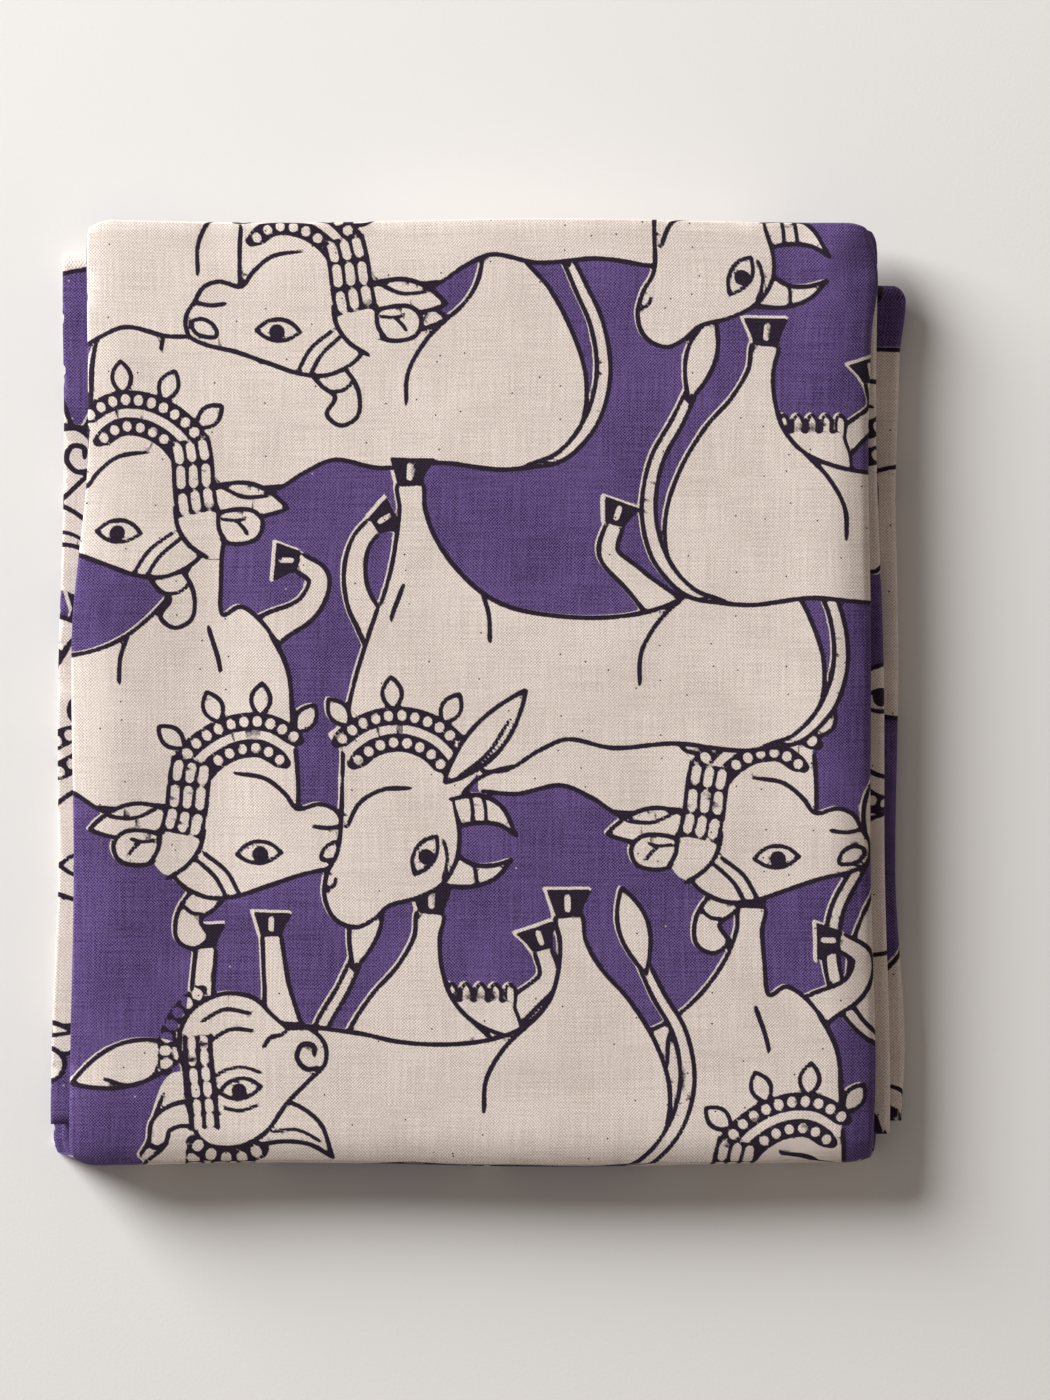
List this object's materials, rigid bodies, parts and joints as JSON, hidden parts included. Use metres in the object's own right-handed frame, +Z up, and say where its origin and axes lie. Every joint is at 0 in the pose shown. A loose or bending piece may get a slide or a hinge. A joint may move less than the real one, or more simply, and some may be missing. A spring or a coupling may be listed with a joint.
{
  "type": "folded kalamkari cotton panel",
  "caption": "Length of block-printed cotton cloth folded into a flat packet with a round spine and a pair of lips, ready to be opened out for hanging, wrapping or sewing.",
  "frame": {"origin": "under the middle of the packet's outline, on the surface it rests on", "axes": "+Z up through the layers, +Y from the spine to the lips, +X across the strip towards its round long fold"},
  "size_m": [0.3022, 0.333, 0.0255],
  "materials": {
    "printed_cotton": "matt plain weave, block printed in cream, violet and dark aubergine"
  },
  "bodies": {
    "root": {"kalamkari_panel": "printed_cotton"}
  },
  "joints": []
}
